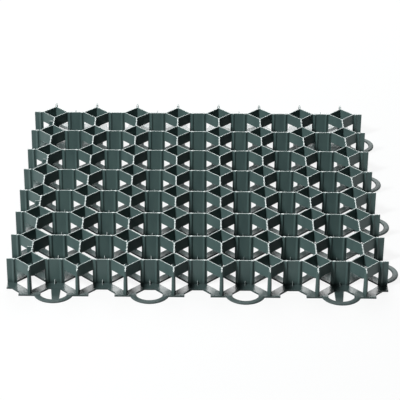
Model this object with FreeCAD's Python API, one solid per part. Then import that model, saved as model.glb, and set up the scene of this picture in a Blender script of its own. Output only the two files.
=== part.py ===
"""Grass paver grid: one square moulded panel of octagonal cells with small diamonds between them.

The panel lies on XY with its underside at z = 0 and its centre at the origin. Loops on the -Y and +X
sides slip under the pockets on the +Y and -X sides of the next panel.
"""
import FreeCAD, Part
import math
import os

# Panel: its cells, and the couplings on each side, one to every second cell
pitch = 62.4
coupling_count = 4
height = 38.0
lay_gap = 0.8

# Cell walls
wall = 2.0
diamond_half = 18.3
skirt = 16.5

# Base plate, with octagonal holes that are smaller where a side of the panel cuts them in half
plate = 2.2
plate_hole = 19.0
edge_hole = 17.0
diamond_margin = 1.6

# Ribs on the walls along X
rib_depth = 1.3
rib_width = 3.8
rib_place = 8.9

# Gussets at the foot of the walls along X
gusset_reach = 6.0
gusset_rise = 4.5
gusset_width = 1.2

# Loops
loop_inner = 19.2
loop_width = 7.5
loop_setback = 9.5

# Tongues across the outer two loops of the -Y side
tongue_root = 12.6
tongue_tip = 9.0
tongue_root_offset = 2.0
tongue_tip_offset = 3.5
tongue_thickness = 1.5

# Pockets that take the next panel's loops
pocket_clearance = 0.5
pocket_lip = 2.0
pocket_roof = 2.0
fin_reach_top = 6.0
fin_reach_foot = 8.5
fin_width = 1.6

# Derived sizes and places
cells = 2 * coupling_count
half = cells * pitch / 2
reach = pitch / 2
window_top = height - skirt
diamond_inside = diamond_half - wall / math.sqrt(2)
diamond_outside = diamond_half + wall / math.sqrt(2)
diamond_hole = diamond_outside + diamond_margin
loop_outer = loop_inner + loop_width
roof_under = plate + pocket_clearance
roof_top = roof_under + pocket_roof
octagons = [i * pitch - half for i in range(cells + 1)]
couplings = octagons[1::2]
closed = (couplings[0], couplings[-1])


def vector(x, y, z=0.0):
    """A point in millimetres."""
    return FreeCAD.Vector(x, y, z)


def polygon(corners):
    """A flat face with the given corners."""
    return Part.Face(Part.makePolygon(corners + corners[:1]))


def prism(points, low, high):
    """A solid that stands on a plan outline between two levels."""
    return polygon([vector(x, y, low) for x, y in points]).extrude(vector(0, 0, high - low))


def fin(x, width, profile):
    """A thin upright plate across X at one place, from its outline in Y and Z."""
    return polygon([vector(x - width / 2, y, z) for y, z in profile]).extrude(vector(width, 0, 0))


def turned(points, quarter):
    """Plan points turned about the origin by a number of quarter turns."""
    for _ in range(quarter % 4):
        points = [(-y, x) for x, y in points]
    return points


def placed(points, x, y):
    """Plan points moved to a place."""
    return [(px + x, py + y) for px, py in points]


def rectangle(x0, y0, x1, y1):
    """The corners of an upright rectangle in plan."""
    return [(x0, y0), (x1, y0), (x1, y1), (x0, y1)]


def diamond(half_diagonal):
    """The corners of a square that stands on its corner."""
    return [(half_diagonal, 0), (0, half_diagonal), (-half_diagonal, 0), (0, -half_diagonal)]


def octagon(flat):
    """The corners of a regular octagon, given the distance from its centre to a side."""
    short = flat * math.tan(math.pi / 8)
    sides = [turned([(flat, -short), (flat, short)], quarter) for quarter in range(4)]
    return [point for side in sides for point in side]


def half_wall(ribbed):
    """Half a straight wall along +X in plan, from a diamond's corner to its middle, a rib on each face."""
    rib = reach - rib_place
    crest = [(rib - rib_width / 2, 0), (rib, rib_depth), (rib + rib_width / 2, 0)] if ribbed else []
    side = [(diamond_outside - wall / 2, 0)] + crest + [(reach, 0)]
    front = [(u, -wall / 2 - v) for u, v in side]
    back = [(u, wall / 2 + v) for u, v in reversed(side)]
    return front + back


def hole_outline(x, y):
    """The octagonal hole at one place of the base plate."""
    on_side = max(abs(x), abs(y)) > half - reach
    return placed(octagon(edge_hole if on_side else plate_hole), x, y)


def base(x, y):
    """The base plate about one diamond, with its hole and a quarter of each octagonal hole round it."""
    corners = rectangle(x - reach, y - reach, x + reach, y + reach)
    holes = [prism(hole_outline(*corner), 0, plate) for corner in corners]
    holes.append(prism(placed(diamond(diamond_hole), x, y), 0, plate))
    return prism(corners, 0, plate).cut(holes)


def cell_walls():
    """One repeat of the walls: a diamond on its four half walls."""
    frame = prism(diamond(diamond_outside), window_top, height)
    frame = frame.cut(prism(diamond(diamond_inside), window_top, height))
    walls = [prism(turned(half_wall(quarter % 2 == 0), quarter), 0, height) for quarter in range(4)]
    return frame.multiFuse(walls)


def moved(shape, x, y):
    """A copy of a shape at another place."""
    shape = shape.copy()
    shape.translate(vector(x, y))
    return shape


def side_turn(shape, quarter):
    """A shape made for the -Y side, turned to another side of the panel."""
    shape = shape.copy()
    shape.rotate(vector(0, 0), vector(0, 0, 1), 90 * quarter)
    return shape


def gusset(x, y):
    """A small triangular fin between the -Y face of a wall along X and the base plate."""
    front = y - wall / 2
    return fin(x, gusset_width, [(y, plate), (y, plate + gusset_rise), (front, plate + gusset_rise),
                                 (front - gusset_reach, plate)])


def loop(x):
    """A flat half ring on the -Y side, round the front of a half octagonal hole."""
    centre = vector(x, loop_setback - half)
    ring = Part.makeCylinder(loop_outer, plate, centre).cut(Part.makeCylinder(loop_inner, plate, centre))
    ahead = rectangle(x - loop_outer, centre.y - loop_outer, x + loop_outer, centre.y)
    return ring.common(prism(ahead, 0, plate))


def tongue(x):
    """A tapered strip from the plate across a -Y loop to its far edge, off centre to the panel's middle."""
    root_x = x - math.copysign(tongue_root_offset, x)
    tip_x = x - math.copysign(tongue_tip_offset, x)
    root_y = edge_hole - half
    tip_y = loop_setback - half - loop_inner - loop_width / 2
    outline = [(root_x - tongue_root / 2, root_y), (tip_x - tongue_tip / 2, tip_y),
               (tip_x + tongue_tip / 2, tip_y), (root_x + tongue_root / 2, root_y)]
    return prism(outline, 0, tongue_thickness)


def pocket_centre(x):
    """Where the next panel's loop has its centre, beyond the -Y side."""
    return vector(x, -half - lay_gap - loop_setback)


def pocket_space(x):
    """The room under a pocket's roof on the -Y side, round the boss that stands inside the loop."""
    room = Part.makeCylinder(loop_outer + pocket_clearance, roof_under, pocket_centre(x))
    return room.cut(Part.makeCylinder(loop_inner - pocket_clearance, roof_under, pocket_centre(x)))


def pocket(x):
    """A raised round roof on the -Y side over a closed floor, with its lip and the fin that stiffens it."""
    roof = Part.makeCylinder(loop_outer + pocket_clearance + pocket_lip, roof_top, pocket_centre(x))
    floor = prism(hole_outline(x, -half), 0, plate)
    within = prism(rectangle(x - reach, -half, x + reach, reach - half), 0, roof_top)
    middle = reach - half
    front = middle - wall / 2
    stay = fin(x, fin_width, [(middle, plate), (middle, height), (front - fin_reach_top, height),
                              (front - fin_reach_foot, plate)])
    return roof.fuse(floor).common(within).fuse(stay)


def joined(pieces):
    """Shapes that meet or overlap as one, without the seams between their flat faces."""
    return pieces[0].multiFuse(pieces[1:]).removeSplitter()


def block(x, y):
    """Four diamonds about one octagonal cell, with the couplings of the sides that the block lies on."""
    walls = cell_walls()
    middles = rectangle(x - reach, y - reach, x + reach, y + reach)
    pieces = [moved(walls, *middle) for middle in middles] + [base(*middle) for middle in middles]
    pieces += [gusset(x, y + j * reach) for j in (-1, 1)]
    spaces = []
    if x != couplings[-1]:
        pieces += [gusset(x + pitch, y + j * reach) for j in (-1, 1)]
    if x in closed and y in closed:
        pieces.append(prism(hole_outline(x, y), 0, plate))
    if y == couplings[0]:
        pieces.append(loop(x))
    if y == couplings[0] and x in closed:
        pieces.append(tongue(x))
    if x == couplings[-1]:
        pieces.append(side_turn(loop(y), 1))
    if y == couplings[-1]:
        pieces.append(side_turn(pocket(-x), 2))
        spaces.append(side_turn(pocket_space(-x), 2))
    if x == couplings[0]:
        pieces.append(side_turn(pocket(-y), 3))
        spaces.append(side_turn(pocket_space(-y), 3))
    body = joined(pieces)
    return body.cut(spaces) if spaces else body


def paver_grid():
    """The whole panel as one moulded piece, put together from four quarters."""
    middle = coupling_count // 2
    parts = (couplings[:middle], couplings[middle:])
    quarters = [joined([block(x, y) for x in columns for y in rows]) for columns in parts for rows in parts]
    return quarters[0].multiFuse(quarters[1:])


os.makedirs("parts", exist_ok=True)
panel = paver_grid()
solid = panel.Solids[0]
print("solids", len(panel.Solids), "valid", panel.isValid(), "volume cm3", round(solid.Volume / 1000, 1))
print("box", solid.BoundBox)
solid.exportStep("parts/paver_grid.step")
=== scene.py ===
import math

import bmesh
import bpy
import numpy as np
from bpy.props import FloatProperty, FloatVectorProperty, IntProperty, PointerProperty
from mathutils import Matrix, Vector


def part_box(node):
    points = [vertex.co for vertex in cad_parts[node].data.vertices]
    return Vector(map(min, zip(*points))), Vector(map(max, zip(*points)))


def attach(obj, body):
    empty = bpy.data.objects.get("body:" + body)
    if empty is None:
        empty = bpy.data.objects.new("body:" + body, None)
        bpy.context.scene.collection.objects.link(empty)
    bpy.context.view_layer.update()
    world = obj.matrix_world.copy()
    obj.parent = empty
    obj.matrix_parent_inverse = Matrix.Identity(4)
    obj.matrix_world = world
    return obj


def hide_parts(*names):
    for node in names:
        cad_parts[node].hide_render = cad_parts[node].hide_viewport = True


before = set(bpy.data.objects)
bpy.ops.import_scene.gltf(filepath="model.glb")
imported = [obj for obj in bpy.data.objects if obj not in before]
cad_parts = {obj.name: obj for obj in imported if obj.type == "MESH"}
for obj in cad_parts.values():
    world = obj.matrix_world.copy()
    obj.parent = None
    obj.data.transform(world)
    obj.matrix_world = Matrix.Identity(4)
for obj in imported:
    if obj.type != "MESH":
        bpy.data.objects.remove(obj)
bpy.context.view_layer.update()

bl_info = {
    "name": "Grass paver grid",
    "version": (1, 0, 0),
    "blender": (4, 2, 0),
    "location": "View3D > Sidebar > Paver",
    "description": "Builds a moulded grass paver panel with its finish and a plain studio",
    "category": "Object",
}

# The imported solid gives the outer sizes: its -X and +Y sides are plain, its -Y and +X sides carry loops
CAD_NODE = "paver_grid"
PANEL_LOW, PANEL_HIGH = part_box(CAD_NODE)
HALF = -PANEL_LOW.x
LOOP_REACH = -PANEL_LOW.y - HALF
HEIGHT = PANEL_HIGH.z

# Side of the picture in pixels and width of the camera's sensor in millimetres
IMAGE_PIXELS = 400
SENSOR_WIDTH = 36.0

# How far one surface stops short of another that it meets, so that no two faces coincide
HAIR = 0.00004
MERGE_DISTANCE = HAIR / 10

# Points across a rib in half widths, and levels between a wall's foot and rim as shares of the height
RIB_POINTS = (-1.0, -0.62, -0.25, 0.25, 0.62, 1.0)
WALL_LEVELS = (0.5, 0.8)

# Points of a plate's ring round the hole at one corner, and the part of a diamond's side that they face
HOLE_POINTS = 7
SIDE_SHARES = (0.15, 0.85)

# Points round a rounded edge, both edges of a thin upright plate, a loop and a pocket
ROUND_POINTS = 5
BLADE_POINTS = 7
LOOP_POINTS = 49
POCKET_POINTS = 25

# Shares of their thickness by which the edges of a gusset and of a pocket's roof are rounded
GUSSET_ROUND = 0.49
ROOF_ROUND = 0.9

# Detail of the plastic's random patterns, and the part of their range that is drawn out to 0 to 1
STREAK_DETAIL = 4.0
WEAR_DETAIL = 3.0
GRAIN_DETAIL = 2.0
WAVE_DETAIL = 1.0
STREAK_RANGE = (0.35, 0.70)
WEAR_RANGE = (0.30, 0.65)

WHITE = (1.0, 1.0, 1.0, 1.0)


def length(name, default, description):
    """A property for a length in metres."""
    return FloatProperty(name=name, description=description, default=default, min=0.0, precision=5,
                         unit="LENGTH", subtype="DISTANCE")


def colour(name, default, description):
    """A property for a linear colour."""
    return FloatVectorProperty(name=name, description=description, default=default, size=3, min=0.0, max=1.0,
                               subtype="COLOR")


def number(name, default, description):
    """A property for a plain number."""
    return FloatProperty(name=name, description=description, default=default, min=0.0)


def angle(name, degrees, description):
    """A property for an angle, given in degrees."""
    return FloatProperty(name=name, description=description, default=math.radians(degrees), unit="ROTATION",
                         subtype="ANGLE")


def place(name, default, description):
    """A property for a point in metres."""
    return FloatVectorProperty(name=name, description=description, default=default, size=3, unit="LENGTH",
                               subtype="XYZ")


class PaverSizes(bpy.types.PropertyGroup):
    """Sizes of the moulded panel."""
    cells: IntProperty(name="Cells", description="Diamonds along one side", default=8, min=2)
    wall: length("Wall", 0.0017, "Thickness of the straight walls at the rim")
    diamond_wall: length("Diamond wall", 0.0016, "Thickness of the diamonds' walls at the rim")
    draft: length("Draft", 0.0005, "How much thicker the walls are at their foot")
    rim_radius: length("Rim radius", 0.0005, "Rounding of the walls' upper edges")
    diamond_half: length("Diamond", 0.0183, "Half diagonal of a diamond, at the middle of its wall")
    skirt: length("Skirt", 0.0165, "Height of the diamonds' walls, which hang from the rim")
    rib_half_x: length("X rib half width", 0.0024, "Half the width of a round rib on a wall along X")
    rib_top_x: length("X rib depth at the rim", 0.0011, "How far a rib stands off a wall along X at the rim")
    rib_foot_x: length("X rib depth at the foot", 0.0015, "The same at the wall's foot")
    rib_place_x: length("X rib place", 0.0089, "Distance of a rib from the middle of a wall along X")
    rib_half_y: length("Y rib half width", 0.0016, "Half the width of a round rib on a wall along Y")
    rib_top_y: length("Y rib depth at the rim", 0.0008, "How far a rib stands off a wall along Y at the rim")
    rib_foot_y: length("Y rib depth at the foot", 0.0019, "The same at the wall's foot")
    rib_place_y: length("Y rib place", 0.0050, "Distance of a rib from the middle of a wall along Y")
    rib_place_post: length("Y rib place at a diamond", 0.0108, "The same for the rib by a diamond")
    plate: length("Plate", 0.0022, "Thickness of the base plate")
    plate_edge: length("Plate edge", 0.0004, "Rounding of the base plate's upper edges")
    plate_hole: length("Octagonal hole", 0.0190, "Distance of a hole's slanting sides from its centre")
    edge_hole: length("Half hole", 0.0170, "The same for the holes that the panel's sides cut in half")
    hole_stretch: number("Hole stretch", 1.06, "How much farther out a whole hole's sides along X and Y lie")
    diamond_margin: length("Diamond hole", 0.0030, "How far its hole reaches past a diamond wall's middle")
    gusset_reach: length("Gusset reach", 0.0052, "Length of a gusset's foot")
    gusset_rise: length("Gusset rise", 0.0052, "Height of a gusset")
    gusset_width: length("Gusset width", 0.0012, "Thickness of a gusset")
    loop_setback: length("Loop setback", 0.0095, "Distance of a loop's centre inside the panel's edge")
    loop_width: length("Loop width", 0.0075, "Width of a loop's flat ring")
    loop_edge: length("Loop edge", 0.0028, "How far in from its edges a loop's top is rounded")
    loop_crown: length("Loop crown", 0.0012, "How far a loop's top falls to its edges")
    tongue_root: length("Tongue root", 0.0126, "Width of a tongue at the plate")
    tongue_tip: length("Tongue tip", 0.0090, "Width of a tongue at the loop")
    tongue_root_offset: length("Tongue root offset", 0.0020, "How far its root lies from the loop's middle")
    tongue_tip_offset: length("Tongue tip offset", 0.0035, "How far its tip lies from the loop's middle")
    tongue_thickness: length("Tongue thickness", 0.0015, "Thickness of a tongue")
    lay_gap: length("Laying gap", 0.0008, "Gap between two laid panels")
    clearance: length("Pocket clearance", 0.0005, "Room round a loop in its pocket")
    lip: length("Pocket lip", 0.0020, "Width of a pocket's lip")
    roof: length("Pocket roof", 0.0010, "Thickness of a pocket's roof")
    ramp: length("Pocket ramp", 0.0045, "Width of the slope from a pocket's roof down to the plate")
    fin_top: length("Fin reach at the rim", 0.0060, "How far a fin stands off the wall at the rim")
    fin_foot: length("Fin reach at the foot", 0.0085, "How far a fin stands off the wall at its foot")
    fin_width: length("Fin width", 0.0016, "Thickness of a fin")


class PaverFinish(bpy.types.PropertyGroup):
    """Look of the moulded plastic."""
    body: colour("Body", (0.050, 0.083, 0.081), "Main colour of the plastic")
    pale: colour("Pale streaks", (0.062, 0.102, 0.097), "Colour of the paler flow streaks")
    # Painted shade: this colour darkens the base plate and the lower part of the walls, where shade falls
    foot: colour("Foot", (0.032, 0.050, 0.049), "Colour of the base plate and the feet of the walls")
    foot_shade_start: length("Foot start", 0.0020, "Height up to which the foot is darkest")
    foot_shade_height: length("Foot height", 0.0085, "Height up to which the darker foot fades out")
    # The rim colour is partly scuffing and partly a painted highlight along the top of the walls
    rim: colour("Rim", (0.080, 0.112, 0.107), "Colour of the scuffed rims")
    rim_scuff_and_highlight_depth: length("Rim depth", 0.0006, "How far down from the rim the scuffs reach")
    wear: number("Wear", 0.45, "Share of the rims' paleness that the scuffs break up")
    wear_scale: number("Wear scale", 260.0, "Fineness of the scuffs")
    streak_scale: number("Streak scale", 70.0, "Fineness of the flow streaks")
    streak_rise: number("Streak rise", 0.25, "Fineness of the streaks upwards, as a share of that across")
    streak_rough: number("Streak roughness", 0.06, "How much rougher the paler streaks are")
    gloss: number("Roughness", 0.29, "Roughness of the smooth faces")
    scuffed: number("Scuffed roughness", 0.30, "Roughness of the scuffed rims")
    matt: number("Matt roughness", 0.58, "Roughness of the loops outside the panel")
    matt_fade: length("Matt fade", 0.0010, "How far to each side of the panel's edge the roughness changes")
    index: number("Refractive index", 1.36, "How strongly the faces mirror")
    relief: number("Relief", 0.10, "Strength of the fine grain and the broad waves in the faces")
    relief_depth: length("Relief depth", 0.0006, "Height of the waves")
    wave_scale: number("Wave scale", 45.0, "Fineness of the waves")
    grain: number("Grain", 0.25, "Height of the grain as a share of the waves'")
    grain_scale: number("Grain scale", 1500.0, "Fineness of the grain")


class PaverStage(bpy.types.PropertyGroup):
    """Floor, lamps and camera."""
    floor_size: length("Floor", 9.0, "Length of the floor's sides")
    floor: colour("Floor colour", (0.30, 0.30, 0.30), "Colour of the floor for the light that it throws back")
    floor_seen: colour("Seen floor colour", (0.50, 0.52, 0.52), "Colour of the floor as the camera sees it")
    floor_fade: length("Floor fade", 0.010, "How far in from the panel's edge the mirrored floor darkens")
    whiteness: number("Whiteness", 0.86, "Share of plain white that the camera sees in the floor")
    ambient: number("Ambient", 0.02, "Brightness of the room")
    key_place: place("Key place", (-1.40, -1.10, 1.82), "Where the key lamp stands")
    key_size: length("Key size", 0.4, "Length of the key lamp's sides")
    key_power: number("Key power", 98.0, "Power of the key lamp in watts")
    back_place: place("Back place", (0.0, 1.9, 1.50), "Where the tall lamp behind the panel stands")
    back_width: length("Back width", 1.4, "Width of the back lamp")
    back_height: length("Back height", 1.5, "Height of the back lamp")
    back_power: number("Back power", 86.0, "Power of the back lamp in watts")
    side_place: place("Side place", (1.3, -0.30, 0.06), "Where the low weak lamp on the right stands")
    side_width: length("Side width", 0.7, "Width of the side lamp")
    side_height: length("Side height", 0.10, "Height of the side lamp")
    side_power: number("Side power", 2.4, "Power of the side lamp in watts")
    camera_place: place("Camera place", (-0.0061, -2.1348, 1.1840), "Where the camera stands")
    camera_turn: angle("Camera turn", 0.245, "Turn of the camera to the right of +Y")
    camera_dip: angle("Camera dip", 28.872, "How far the camera looks down")
    camera_roll: angle("Camera roll", 0.602, "Roll of the camera")
    focal_pixels: number("Focal length", 1710.6, "Focal length in pixels of the picture")


class Form:
    """Points and faces of one piece, gathered from several surfaces."""

    def __init__(self):
        self.points = []
        self.faces = []
        self.count = 0

    def add(self, points, *faces):
        """Takes points in an array whose last axis is XYZ, and arrays of faces that number them."""
        points = np.asarray(points, float).reshape(-1, 3)
        for rows in faces:
            self.faces += (np.asarray(rows) + self.count).tolist()
        self.points.append(points)
        self.count += len(points)

    def add_copies(self, points, places, *faces):
        """Repeats one shape at places given as an array of XYZ."""
        points = np.asarray(points, float).reshape(-1, 3)
        shift = np.arange(len(places))[:, None, None] * len(points)
        repeated = [(np.asarray(rows)[None] + shift).reshape(-1, np.shape(rows)[1]) for rows in faces]
        self.add(points[None] + np.asarray(places)[:, None], *repeated)

    def piece(self, name, material):
        """Makes the object, doubles merged and faces turned outwards, and ties it to the panel's body."""
        mesh = bpy.data.meshes.new(name)
        mesh.from_pydata(np.concatenate(self.points).tolist(), [], self.faces)
        work = bmesh.new()
        work.from_mesh(mesh)
        bmesh.ops.remove_doubles(work, verts=work.verts, dist=MERGE_DISTANCE)
        bmesh.ops.recalc_face_normals(work, faces=work.faces)
        work.to_mesh(mesh)
        work.free()
        mesh.materials.append(material)
        piece = bpy.data.objects.new(name, mesh)
        bpy.context.scene.collection.objects.link(piece)
        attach(piece, "root")
        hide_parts(CAD_NODE)


def grid_faces(rows, columns, close_rows=False, close_columns=True):
    """Quads of a grid of points in rows and columns, each direction open or closed on itself."""
    row = np.arange(rows if close_rows else rows - 1)[:, None]
    column = np.arange(columns if close_columns else columns - 1)[None, :]
    next_row = (row + 1) % rows
    next_column = (column + 1) % columns
    corners = (row * columns + column, row * columns + next_column,
               next_row * columns + next_column, next_row * columns + column)
    return np.stack(np.broadcast_arrays(*corners), axis=-1).reshape(-1, 4)


def column_faces(rings):
    """Faces of a solid whose closed outlines are stacked in an array of rings: its sides and its two ends."""
    rows, columns = np.shape(rings)[:2]
    ends = np.array([np.arange(columns)[::-1], np.arange(columns) + (rows - 1) * columns])
    return grid_faces(rows, columns), ends


def quarter_turn(points, quarters):
    """Points turned about Z by a number of quarter turns: (x, y) becomes (-y, x) for each."""
    points = np.array(points, float)
    for _ in range(quarters % 4):
        points[..., :2] = np.stack([-points[..., 1], points[..., 0]], axis=-1)
    return points


def rounded_levels(low, high, radius):
    """Levels of an upright face with a rounded top edge, and how far the edge draws in at each of them.

    The rounding is a quarter circle: the level is high - r + r sin a and the inset r - r cos a.
    """
    bend = np.linspace(0, np.pi / 2, ROUND_POINTS)
    levels = np.concatenate([[low], high - radius + radius * np.sin(bend)])
    insets = np.concatenate([[0], radius - radius * np.cos(bend)])
    return levels, insets


def octagon(flat):
    """Corners of a regular octagon about the origin, from the distance of its sides."""
    corner = np.pi / 8 + np.arange(8) * np.pi / 4
    return flat / math.cos(np.pi / 8) * np.stack([np.cos(corner), np.sin(corner)], axis=-1)


def upright(outline, levels):
    """An outline in plan carried up through levels, as rings of points."""
    outline = np.broadcast_to(outline, (len(levels),) + np.shape(outline)[-2:])
    heights = np.broadcast_to(np.asarray(levels)[:, None, None], outline.shape[:2] + (1,))
    return np.concatenate([outline, heights], axis=-1)


class Layout:
    """Places and sizes that the pieces share, worked out from the panel's properties."""

    def __init__(self, sizes):
        self.pitch = 2 * HALF / sizes.cells
        self.reach = self.pitch / 2
        self.diamonds = (np.arange(sizes.cells) + 0.5) * self.pitch - HALF
        self.octagons = np.arange(sizes.cells + 1) * self.pitch - HALF
        self.couplings = self.octagons[1::2]
        self.window_top = HEIGHT - sizes.skirt
        self.diamond_hole = sizes.diamond_half + sizes.diamond_margin
        self.wall_half = self.reach - sizes.diamond_half - sizes.diamond_wall / math.sqrt(2) + sizes.wall / 2
        self.loop_outer = LOOP_REACH + sizes.loop_setback
        self.loop_inner = self.loop_outer - sizes.loop_width
        self.pocket_back = sizes.loop_setback + sizes.lay_gap
        self.room_radius = self.loop_outer + sizes.clearance
        self.roof_under = sizes.plate + sizes.clearance

    @staticmethod
    def plan(xs, ys):
        """Every pair of the given places, as points at level zero."""
        x, y = np.meshgrid(xs, ys, indexing="ij")
        return np.stack([x.ravel(), y.ravel(), np.zeros(x.size)], axis=-1)


def wall_rings(sizes, start, end, ribs, rib, open_start=False):
    """A straight wall along X with round ribs on both faces, as a plan outline carried up to a rounded rim.

    A rib is a squared cosine across its width, added to half the wall's thickness. The thickness grows in a
    straight line from the rim to the foot, and the ribs' depth with one less the cube of the height.
    """
    half_width, depth_top, depth_foot = rib
    across = half_width * np.array(RIB_POINTS)
    along = np.concatenate([[start], np.ravel(np.sort(ribs)[:, None] + across), [end]])
    levels, insets = rounded_levels(HAIR, HEIGHT - HAIR, sizes.rim_radius)
    levels = np.insert(levels, 1, HEIGHT * np.array(WALL_LEVELS))
    insets = np.insert(insets, 1, np.zeros(len(WALL_LEVELS)))
    depth = (HEIGHT - levels) / HEIGHT
    gap = (along[:, None] - np.asarray(ribs)) / half_width
    swell = np.where(np.abs(gap) < 1, np.cos(np.pi / 2 * gap) ** 2, 0).sum(axis=1)
    stand = depth_top + (depth_foot - depth_top) * (1 - (levels / HEIGHT) ** 3)
    half = (sizes.wall + sizes.draft * depth) / 2 - insets
    side = half[:, None] + stand[:, None] * swell
    first = start + insets[:, None] if open_start else start
    along = np.maximum(np.broadcast_to(along, side.shape), first)
    front = np.stack([along, -side], axis=-1)
    back = np.stack([along, side], axis=-1)[:, ::-1]
    return upright(np.concatenate([front, back], axis=1), levels)


def diamond_rings(sizes, layout):
    """A diamond's wall: a rounded upright section carried round a square that stands on its corner.

    Where the section lies off the wall's middle, the square's corners move out by root 2 times as much.
    """
    levels, insets = rounded_levels(layout.window_top + sizes.rim_radius, HEIGHT, sizes.rim_radius)
    thick = (sizes.diamond_wall + sizes.draft * (HEIGHT - levels) / HEIGHT) / 2 - insets
    foot = thick[0] - sizes.rim_radius
    offsets = np.concatenate([[foot], thick, -thick[::-1], [-foot]])
    heights = np.concatenate([[layout.window_top], levels, levels[::-1], [layout.window_top]])
    corner = np.arange(4) * np.pi / 2
    radius = sizes.diamond_half + math.sqrt(2) * offsets[:, None]
    return np.stack([radius * np.cos(corner), radius * np.sin(corner),
                     np.broadcast_to(heights[:, None], (len(heights), 4))], axis=-1)


def make_cell_walls(sizes, layout):
    """The diamonds and the straight walls between them."""
    form = Form()
    diamond = diamond_rings(sizes, layout)
    form.add_copies(diamond, layout.plan(layout.diamonds, layout.diamonds),
                    grid_faces(*diamond.shape[:2], close_rows=True))
    reach = layout.wall_half
    rib_x = (sizes.rib_half_x, sizes.rib_top_x, sizes.rib_foot_x)
    rib_y = (sizes.rib_half_y, sizes.rib_top_y, sizes.rib_foot_y)
    kinds = ((0, [sizes.rib_place_x], rib_x), (1, [sizes.rib_place_y, sizes.rib_place_post], rib_y))
    for quarter, places, rib in kinds:
        places = np.array(places)
        whole = wall_rings(sizes, -reach, reach, np.concatenate([-places, places]), rib)
        inner = layout.plan(layout.octagons[1:-1], layout.diamonds)
        form.add_copies(quarter_turn(whole, quarter), quarter_turn(inner, quarter), *column_faces(whole))
        stub = wall_rings(sizes, HAIR, reach, places, rib, open_start=True)
        edge = layout.plan(layout.octagons[:1], layout.diamonds)
        for turn in (quarter, quarter + 2):
            form.add_copies(quarter_turn(stub, turn), quarter_turn(edge, turn), *column_faces(stub))
    return form


def notch(flat):
    """A quarter of an octagonal hole whose slanting sides lie at a distance of 1, as distances along X and Y.

    With its other sides at f, a slanting side runs from (root 2 - f, f) to (f, root 2 - f).
    """
    short = math.sqrt(2) - flat
    share = np.linspace(0, 1, HOLE_POINTS - 2)[:, None]
    slope = (1 - share) * np.array([short, flat]) + share * np.array([flat, short])
    return np.concatenate([[[0, flat]], slope, [[flat, 0]]])


def arc_notch(radius, back):
    """Half the arc of a pocket's room whose centre lies outside the -X side, as distances into the plate.

    At the angle a it lies r cos a less the centre's distance from the side along X, and r sin a along Y.
    """
    bend = np.linspace(math.acos(back / radius), 0, HOLE_POINTS)
    return np.stack([radius * np.cos(bend) - back, radius * np.sin(bend)], axis=-1)


def plate_rings(sizes, layout):
    """The plate about each diamond as rings that run from its hole over the top and back underneath.

    Each ring has, for every quarter, the middle of a side and then points round the hole at the corner. The
    upper edges are rounded through the middle of a quarter circle, which lies r (1 - root 1/2) in and down.
    """
    edge = sizes.plate_edge
    soft = edge * (1 - math.sqrt(0.5))
    profile = [(0, 0), (0, sizes.plate - edge), (soft, sizes.plate - soft), (edge, sizes.plate)]
    x, y = (axis.ravel() for axis in np.meshgrid(layout.diamonds, layout.diamonds, indexing="ij"))
    share = np.concatenate([[0], np.linspace(*SIDE_SHARES, HOLE_POINTS)])
    rings = []
    for offset, level in profile:
        half = layout.diamond_hole + math.sqrt(2) * offset
        side = np.stack([half * (1 - share), half * share, np.full_like(share, level)], axis=-1)
        ring = np.concatenate([quarter_turn(side, quarter) for quarter in range(4)])
        rings.append(np.broadcast_to(ring, (len(x),) + ring.shape))
    for offset, level in reversed(profile):
        rings.append(np.concatenate([
            corner_points(sizes, layout, x, y, quarter, offset, level) for quarter in range(4)], axis=1))
    rings = np.stack(rings, axis=1)
    return rings + np.stack([x, y, np.zeros_like(x)], axis=-1)[:, None, None]


def corner_points(sizes, layout, x, y, quarter, offset, level):
    """One quarter of an outer ring for every diamond: a side's middle and the hole at the corner after it.

    In the corner's own frame the hole is an octagon, smaller on the panel's sides, or the round room of a
    pocket where one lies there. The ring keeps the given offset from the hole's side.
    """
    sign_x, sign_y = ((1, 1), (-1, 1), (-1, -1), (1, -1))[quarter]
    hole_x = x + sign_x * layout.reach
    hole_y = y + sign_y * layout.reach
    at = [np.abs(hole[:, None] - layout.couplings).min(axis=1) < HAIR for hole in (hole_x, hole_y)]
    left = (np.abs(hole_x + HALF) < HAIR) & at[1]
    behind = (np.abs(hole_y - HALF) < HAIR) & at[0]
    on_side = np.maximum(np.abs(hole_x), np.abs(hole_y)) > HALF - HAIR
    whole = notch(sizes.hole_stretch) * (sizes.plate_hole + offset)
    into = np.where(on_side[:, None, None], notch(1.0) * (sizes.edge_hole + offset), whole)
    room = arc_notch(layout.room_radius, layout.pocket_back)
    into = np.where(left[:, None, None], room, into)
    into = np.where(behind[:, None, None], room[::-1, ::-1], into)
    if quarter % 2:
        into = into[:, ::-1]
    points = np.array([sign_x, sign_y]) * (layout.reach - into)
    middle = quarter_turn([[layout.reach, 0, 0]], quarter)[:, :2]
    points = np.concatenate([np.broadcast_to(middle, (len(x), 1, 2)), points], axis=1)
    return np.concatenate([points, np.full(points.shape[:2] + (1,), level)], axis=-1)


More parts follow.
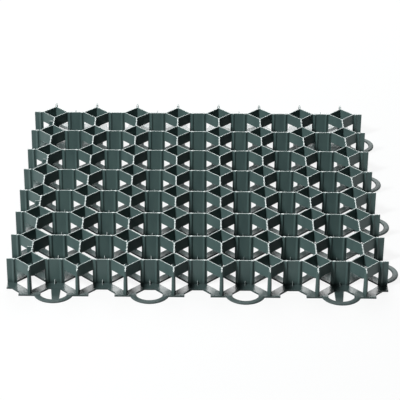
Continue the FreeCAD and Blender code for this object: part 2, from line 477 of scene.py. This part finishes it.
def make_base_plate(sizes, layout):
    """The pierced plate with its four closed cells, and the gussets that stand on it.

    Upright faces between the plates of two neighbouring diamonds are left out, so that these join.
    """
    form = Form()
    rings = plate_rings(sizes, layout)
    count, rows, columns = rings.shape[:3]
    outer = rows // 2
    sides = rings[:, outer:, :, :2]
    on_edge = np.abs(sides).max(axis=-1) > HALF - HAIR
    local = sides - rings[:, :1, ::HOLE_POINTS + 1, :2].mean(axis=2, keepdims=True)
    on_side = np.abs(local).max(axis=-1) > layout.reach - HAIR
    joint = (on_side & ~on_edge).all(axis=1)
    keep = np.ones((count, rows, columns), bool)
    keep[:, outer:-1] = ~(joint & np.roll(joint, -1, axis=1))[:, None]
    faces = grid_faces(rows, columns, close_rows=True).reshape(rows, columns, 4)
    shift = np.arange(count)[:, None, None, None] * rows * columns
    form.add(rings, (faces[None] + shift)[keep])
    ends = layout.couplings[[0, -1]]
    flat = sizes.plate_hole * sizes.hole_stretch + sizes.plate_edge
    plug = upright(octagon(flat), [HAIR, sizes.plate - HAIR])
    form.add_copies(plug, layout.plan(ends, ends), *column_faces(plug))
    sunk = -sizes.plate / 2
    front = -sizes.wall / 2
    toe = front - sizes.gusset_reach
    profile = [(0, sunk), (0, sizes.gusset_rise), (front, sizes.gusset_rise), (toe, 0), (toe, sunk)]
    gusset = blade(profile, sizes.gusset_width, sizes.gusset_width * GUSSET_ROUND, sizes.plate)
    form.add_copies(gusset, layout.plan(layout.octagons[1:-1], layout.diamonds), *column_faces(gusset))
    return form


def drawn_in(outline, distances):
    """A convex outline with its sides drawn in by several distances.

    A corner between sides with the inward normals n and m moves by the distance times (n + m) / (1 + n.m).
    """
    along = np.roll(outline, -1, axis=0) - outline
    along /= np.linalg.norm(along, axis=1, keepdims=True)
    after = np.stack([-along[:, 1], along[:, 0]], axis=-1)
    before = np.roll(after, 1, axis=0)
    move = (before + after) / (1 + (before * after).sum(axis=1, keepdims=True))
    return outline + np.asarray(distances)[:, None, None] * move


def blade(profile, width, radius, level):
    """A thin upright plate across X with rounded edges, from its outline in Y and Z, counter-clockwise.

    From one face to the other the place is r sin a past the flat part, and the outline draws in by
    r - r cos a.
    """
    bend = np.linspace(-np.pi / 2, np.pi / 2, BLADE_POINTS)
    outline = drawn_in(np.array(profile, float), radius - radius * np.cos(bend))
    x = (width / 2 - radius) * np.sign(bend) + radius * np.sin(bend)
    x = np.broadcast_to(x[:, None, None], outline.shape[:2] + (1,))
    return np.concatenate([x, outline + np.array([0, level])], axis=-1)


def swept_arc(section, start, end, steps):
    """A closed section of radius and level carried round the Z axis between two angles."""
    section = np.asarray(section)
    turn = np.linspace(start, end, steps)[:, None]
    return np.stack([section[:, 0] * np.cos(turn), section[:, 0] * np.sin(turn),
                     np.broadcast_to(section[:, 1], (steps, len(section)))], axis=-1)


def loop_rings(sizes, layout):
    """A loop on the -Y side: a crowned section carried round half a circle.

    The crown is a quarter of an ellipse at each edge, the rounding's circle drawn out across the loop.
    """
    levels, insets = rounded_levels(HAIR, sizes.plate - HAIR, sizes.loop_crown)
    insets = insets * sizes.loop_edge / sizes.loop_crown
    radii = np.concatenate([layout.loop_outer - insets, (layout.loop_inner + insets)[::-1]])
    section = np.stack([radii, np.concatenate([levels, levels[::-1]])], axis=-1)
    ring = swept_arc(section, np.pi, 2 * np.pi, LOOP_POINTS)
    return ring + np.array([0, sizes.loop_setback - HALF, 0])


def make_couplings(sizes, layout):
    """Loops on the -Y and +X sides with tongues at the two end loops on the -Y side, pockets and fins on the
    +Y and -X sides.
    """
    form = Form()
    loop = loop_rings(sizes, layout)
    pockets = pocket_forms(sizes, layout)
    for x in layout.couplings:
        for quarter in (0, 1):
            form.add(quarter_turn(loop + np.array([x, 0, 0]), quarter), *column_faces(loop))
        for rings in pockets:
            for quarter in (2, 3):
                form.add(quarter_turn(rings + np.array([x, 0, 0]), quarter), *column_faces(rings))
    for x in layout.couplings[[0, -1]]:
        root_x = x - math.copysign(sizes.tongue_root_offset, x)
        tip_x = x - math.copysign(sizes.tongue_tip_offset, x)
        root_y = sizes.edge_hole + sizes.plate_edge - HALF
        tip_y = sizes.loop_setback - HALF - (layout.loop_inner + layout.loop_outer) / 2
        outline = [(root_x - sizes.tongue_root / 2, root_y), (tip_x - sizes.tongue_tip / 2, tip_y),
                   (tip_x + sizes.tongue_tip / 2, tip_y), (root_x + sizes.tongue_root / 2, root_y)]
        strip = upright(outline, [2 * HAIR, sizes.tongue_thickness])
        form.add(strip, *column_faces(strip))
    return form


def segment(radius, back):
    """The part of a disc that lies inside the -Y side, its centre that far outside it, as a plan outline."""
    start = math.asin(back / radius)
    bend = np.linspace(start, np.pi - start, POCKET_POINTS)
    return np.stack([radius * np.cos(bend), radius * np.sin(bend) - back - HALF], axis=-1)


def pocket_forms(sizes, layout):
    """Roof, lip, boss, ramp and fin of one pocket on the -Y side, each as rings.

    The ramp falls in a straight line from the roof's rounded edge to the plate, carried round the pocket.
    """
    back = layout.pocket_back
    lip = layout.room_radius + sizes.lip
    top = layout.roof_under + sizes.roof
    rounding = ROOF_ROUND * sizes.roof
    levels, insets = rounded_levels(layout.roof_under, top, rounding)
    roof = np.stack([segment(lip - inset, back) for inset in insets])
    band = np.concatenate([segment(lip - HAIR, back), segment(layout.room_radius, back)[::-1]])
    ring = upright(band, [HAIR, layout.roof_under + HAIR])
    boss = upright(segment(layout.loop_inner - sizes.clearance, back), [HAIR, layout.roof_under + HAIR])
    radii = np.array([lip + sizes.ramp, lip + sizes.ramp, lip - rounding, lip - rounding])
    heights = np.array([sizes.plate / 2, sizes.plate, top, sizes.plate / 2])
    slope = np.stack([segment(radius, back) for radius in radii], axis=1)
    slope = np.concatenate([slope, np.broadcast_to(heights[:, None], slope.shape[:2] + (1,))], axis=-1)
    middle = layout.reach - HALF
    front = middle - sizes.wall / 2
    tall = HEIGHT - sizes.plate
    fin = blade([(middle, -sizes.plate / 2), (middle, tall - HAIR), (front - sizes.fin_top, tall - HAIR),
                 (front - sizes.fin_foot, -sizes.plate / 2)], sizes.fin_width, sizes.rim_radius, sizes.plate)
    inward = np.array([0, HAIR, 0])
    return upright(roof, levels), ring + inward, boss, slope + 2 * inward, fin


class Wire:
    """A value in a material on which arithmetic adds Math nodes."""

    def __init__(self, finish, socket):
        self.finish = finish
        self.socket = socket

    def math(self, operation, first, second):
        """A Math node of that operation on two values."""
        return self.finish.node("ShaderNodeMath", {"operation": operation}, {0: first, 1: second})

    def __add__(self, other):
        return self.math("ADD", self, other)

    def __radd__(self, other):
        return self.math("ADD", other, self)

    def __sub__(self, other):
        return self.math("SUBTRACT", self, other)

    def __rsub__(self, other):
        return self.math("SUBTRACT", other, self)

    def __mul__(self, other):
        return self.math("MULTIPLY", self, other)

    def __rmul__(self, other):
        return self.math("MULTIPLY", other, self)


class Finish:
    """A new material, or the nodes of a world, whose nodes are added one by one."""

    def __init__(self, name, tree=None):
        self.material = None if tree else bpy.data.materials.new(name)
        if self.material:
            self.material.use_nodes = True
        self.tree = tree or self.material.node_tree
        self.tree.nodes.clear()

    def node(self, kind, settings=None, sockets=None, output=0):
        """Adds a node, sets its settings, then its sockets from values or wires, and gives an output."""
        made = self.tree.nodes.new(kind)
        for key, value in (settings or {}).items():
            setattr(made, key, value)
        for key, value in (sockets or {}).items():
            if isinstance(value, Wire):
                self.tree.links.new(value.socket, made.inputs[key])
            else:
                made.inputs[key].default_value = value
        return Wire(self, made.outputs[output]) if len(made.outputs) else None

    def axes(self):
        """A point in the object's own frame, and its X, Y and Z."""
        point = self.node("ShaderNodeTexCoord", output="Object")
        return point, *(self.node("ShaderNodeSeparateXYZ", None, {0: point}, output=axis) for axis in "XYZ")

    def between(self, value, low, high):
        """How far a value lies from low to high, held between 0 and 1."""
        return self.node("ShaderNodeMapRange", {"clamp": True}, {
            "Value": value, "From Min": low, "From Max": high})

    def noise(self, point, scale, detail):
        """A smooth random pattern from 0 to 1 at a point."""
        return self.node("ShaderNodeTexNoise", None, {"Vector": point, "Scale": scale, "Detail": detail})

    def blend(self, share, first, second):
        """A colour between two others, by the numbers of the sockets, whose names occur more than once."""
        return self.node("ShaderNodeMix", {"data_type": "RGBA"}, {0: share, 6: first, 7: second}, output=2)


def moulded_plastic(look):
    """Dark grey-green moulded plastic: flow streaks, a fine grain, painted shade that darkens the feet, and
    rims made pale by scuffs and by a painted highlight.
    """
    finish = Finish("moulded_plastic")
    point, right, ahead, height = finish.axes()
    outside = right.math("MAXIMUM", right, 0.0 - ahead)
    loops = finish.between(outside, HALF - look.matt_fade, HALF + look.matt_fade)
    drawn = finish.node("ShaderNodeMapping", None, {"Vector": point, "Scale": (1.0, 1.0, look.streak_rise)})
    streaks = finish.between(finish.noise(drawn, look.streak_scale, STREAK_DETAIL), *STREAK_RANGE)
    wear = finish.between(finish.noise(point, look.wear_scale, WEAR_DETAIL), *WEAR_RANGE)
    # Scuffs and a painted highlight: the top of every wall is made paler, broken up by the scuff pattern
    rim = finish.between(height, HEIGHT - look.rim_scuff_and_highlight_depth, HEIGHT) * (1 - look.wear + look.wear * wear)
    body = finish.blend(streaks, (*look.body, 1), (*look.pale, 1))
    # Painted shade: the base plate and the walls' feet are darkened towards the bottom
    above = finish.between(height, look.foot_shade_start, look.foot_shade_height)
    colours = finish.blend(rim, finish.blend(above, (*look.foot, 1), body), (*look.rim, 1))
    rough = look.gloss + look.streak_rough * streaks
    rough = rough + (look.scuffed - look.gloss) * rim + (look.matt - look.gloss) * loops
    grain = finish.noise(point, look.grain_scale, GRAIN_DETAIL)
    waves = finish.noise(point, look.wave_scale, WAVE_DETAIL)
    normal = finish.node("ShaderNodeBump", None, {
        "Strength": look.relief, "Distance": look.relief_depth, "Height": look.grain * grain + waves})
    shader = finish.node("ShaderNodeBsdfPrincipled", None, {
        "Base Color": colours, "Roughness": rough, "Normal": normal, "IOR": look.index})
    finish.node("ShaderNodeOutputMaterial", None, {"Surface": shader})
    return finish.material


def seen_directly(finish, mirrored=1.0):
    """1 for rays from the camera, the given share for mirrored and refracted ones, else 0."""
    rays = [finish.node("ShaderNodeLightPath", output=name)
            for name in ("Is Camera Ray", "Is Glossy Ray", "Is Transmission Ray")]
    return rays[0].math("MAXIMUM", rays[0], rays[0].math("MAXIMUM", rays[1], rays[2]) * mirrored)


def white_floor(stage):
    """A pale matt floor that the camera sees as nearly plain white, with a trace of the object's shadow.

    Mirrored in the panel, the floor is white round it but as dark as its shadow under it.
    """
    finish = Finish("white_floor")
    across, along = finish.axes()[1:3]
    away = across.math("MAXIMUM", *(side.math("ABSOLUTE", side, 0.0) for side in (across, along)))
    around = finish.between(away, HALF - stage.floor_fade, HALF)
    matt = finish.node("ShaderNodeBsdfDiffuse", None, {"Color": (*stage.floor, 1)})
    shaded = finish.node("ShaderNodeBsdfDiffuse", None, {"Color": (*stage.floor_seen, 1)})
    plain = finish.node("ShaderNodeEmission", None, {"Color": WHITE, "Strength": 1.0})
    pale = finish.node("ShaderNodeMixShader", None, {0: stage.whiteness, 1: shaded, 2: plain})
    mixed = finish.node("ShaderNodeMixShader", None, {0: seen_directly(finish, around), 1: matt, 2: pale})
    finish.node("ShaderNodeOutputMaterial", None, {"Surface": mixed})
    return finish.material


def light_room(stage):
    """A dim white room that the camera sees as plain white."""
    world = bpy.data.worlds.new("studio_room")
    world.use_nodes = True
    bpy.context.scene.world = world
    finish = Finish("studio_room", world.node_tree)
    dim = finish.node("ShaderNodeBackground", None, {"Color": WHITE, "Strength": stage.ambient})
    plain = finish.node("ShaderNodeBackground", None, {"Color": WHITE, "Strength": 1.0})
    mixed = finish.node("ShaderNodeMixShader", None, {0: seen_directly(finish), 1: dim, 2: plain})
    finish.node("ShaderNodeOutputWorld", None, {"Surface": mixed})


def add_lamp(name, spot, width, height, power):
    """A flat soft lamp at a place, turned to the middle of the panel."""
    lamp = bpy.data.lights.new(name, "AREA")
    lamp.shape = "RECTANGLE"
    lamp.size = width
    lamp.size_y = height
    lamp.energy = power
    holder = bpy.data.objects.new(name, lamp)
    holder.location = spot
    holder.rotation_euler = (-Vector(spot)).to_track_quat("-Z", "Y").to_euler()
    bpy.context.scene.collection.objects.link(holder)


def add_floor(stage):
    """The square floor, a hair below the panel."""
    half = stage.floor_size / 2
    corners = [(-half, -half, -HAIR), (half, -half, -HAIR), (half, half, -HAIR), (-half, half, -HAIR)]
    mesh = bpy.data.meshes.new("floor")
    mesh.from_pydata(corners, [], [(0, 1, 2, 3)])
    mesh.materials.append(white_floor(stage))
    sheet = bpy.data.objects.new("floor", mesh)
    bpy.context.scene.collection.objects.link(sheet)


def add_camera(stage):
    """The camera, from its place, turn, dip and roll."""
    turn, dip = stage.camera_turn, stage.camera_dip
    ahead = Vector((math.sin(turn) * math.cos(dip), math.cos(turn) * math.cos(dip), -math.sin(dip)))
    right = Vector((math.cos(turn), -math.sin(turn), 0))
    above = right.cross(ahead)
    rolled_right = math.cos(stage.camera_roll) * right + math.sin(stage.camera_roll) * above
    rolled_above = math.cos(stage.camera_roll) * above - math.sin(stage.camera_roll) * right
    camera = bpy.data.cameras.new("camera")
    camera.sensor_width = SENSOR_WIDTH
    camera.lens = stage.focal_pixels * SENSOR_WIDTH / IMAGE_PIXELS
    holder = bpy.data.objects.new("camera", camera)
    turned = Matrix((rolled_right, rolled_above, -ahead)).transposed()
    holder.matrix_world = Matrix.Translation(stage.camera_place) @ turned.to_4x4()
    bpy.context.scene.collection.objects.link(holder)
    bpy.context.scene.camera = holder


def plastic(context):
    """The panel's material, made when it is first asked for."""
    return bpy.data.materials.get("moulded_plastic") or moulded_plastic(context.scene.paver_finish)


class PAVER_OT_cell_walls(bpy.types.Operator):
    """Builds the diamonds and the ribbed straight walls between them"""
    bl_idname = "paver.cell_walls"
    bl_label = "Cell walls"

    def execute(self, context):
        sizes = context.scene.paver_sizes
        make_cell_walls(sizes, Layout(sizes)).piece("cell_walls", plastic(context))
        return {"FINISHED"}


class PAVER_OT_base_plate(bpy.types.Operator):
    """Builds the pierced base plate with its gussets"""
    bl_idname = "paver.base_plate"
    bl_label = "Base plate"

    def execute(self, context):
        sizes = context.scene.paver_sizes
        make_base_plate(sizes, Layout(sizes)).piece("base_plate", plastic(context))
        return {"FINISHED"}


class PAVER_OT_couplings(bpy.types.Operator):
    """Builds the loops, tongues, pockets and fins along the panel's edges"""
    bl_idname = "paver.couplings"
    bl_label = "Couplings"

    def execute(self, context):
        sizes = context.scene.paver_sizes
        make_couplings(sizes, Layout(sizes)).piece("couplings", plastic(context))
        return {"FINISHED"}


class PAVER_OT_stage(bpy.types.Operator):
    """Sets up the floor, the lamps, the room and the camera"""
    bl_idname = "paver.stage"
    bl_label = "Stage"

    def execute(self, context):
        stage = context.scene.paver_stage
        context.scene.view_settings.view_transform = "Standard"
        add_floor(stage)
        light_room(stage)
        add_lamp("key_lamp", stage.key_place, stage.key_size, stage.key_size, stage.key_power)
        add_lamp("back_lamp", stage.back_place, stage.back_width, stage.back_height, stage.back_power)
        add_lamp("side_lamp", stage.side_place, stage.side_width, stage.side_height, stage.side_power)
        add_camera(stage)
        return {"FINISHED"}


class PAVER_PT_sidebar(bpy.types.Panel):
    """Lists the panel's operators and properties"""
    bl_idname = "PAVER_PT_sidebar"
    bl_label = "Grass paver grid"
    bl_space_type = "VIEW_3D"
    bl_region_type = "UI"
    bl_category = "Paver"

    def draw(self, context):
        for operator in OPERATORS:
            self.layout.operator(operator.bl_idname)
        for group in (context.scene.paver_sizes, context.scene.paver_finish, context.scene.paver_stage):
            box = self.layout.box()
            for name in group.__annotations__:
                box.prop(group, name)


OPERATORS = (PAVER_OT_cell_walls, PAVER_OT_base_plate, PAVER_OT_couplings, PAVER_OT_stage)
GROUPS = {"paver_sizes": PaverSizes, "paver_finish": PaverFinish, "paver_stage": PaverStage}
CLASSES = (*GROUPS.values(), *OPERATORS, PAVER_PT_sidebar)


def register():
    """Registers the classes and hangs the property groups on the scene."""
    for kind in CLASSES:
        bpy.utils.register_class(kind)
    for name, group in GROUPS.items():
        setattr(bpy.types.Scene, name, PointerProperty(type=group))


def unregister():
    """Takes the property groups and the classes away again."""
    for name in GROUPS:
        delattr(bpy.types.Scene, name)
    for kind in reversed(CLASSES):
        bpy.utils.unregister_class(kind)


def main():
    """Builds the panel and its stage."""
    register()
    bpy.ops.paver.cell_walls()
    bpy.ops.paver.base_plate()
    bpy.ops.paver.couplings()
    bpy.ops.paver.stage()


if __name__ == "__main__":
    main()
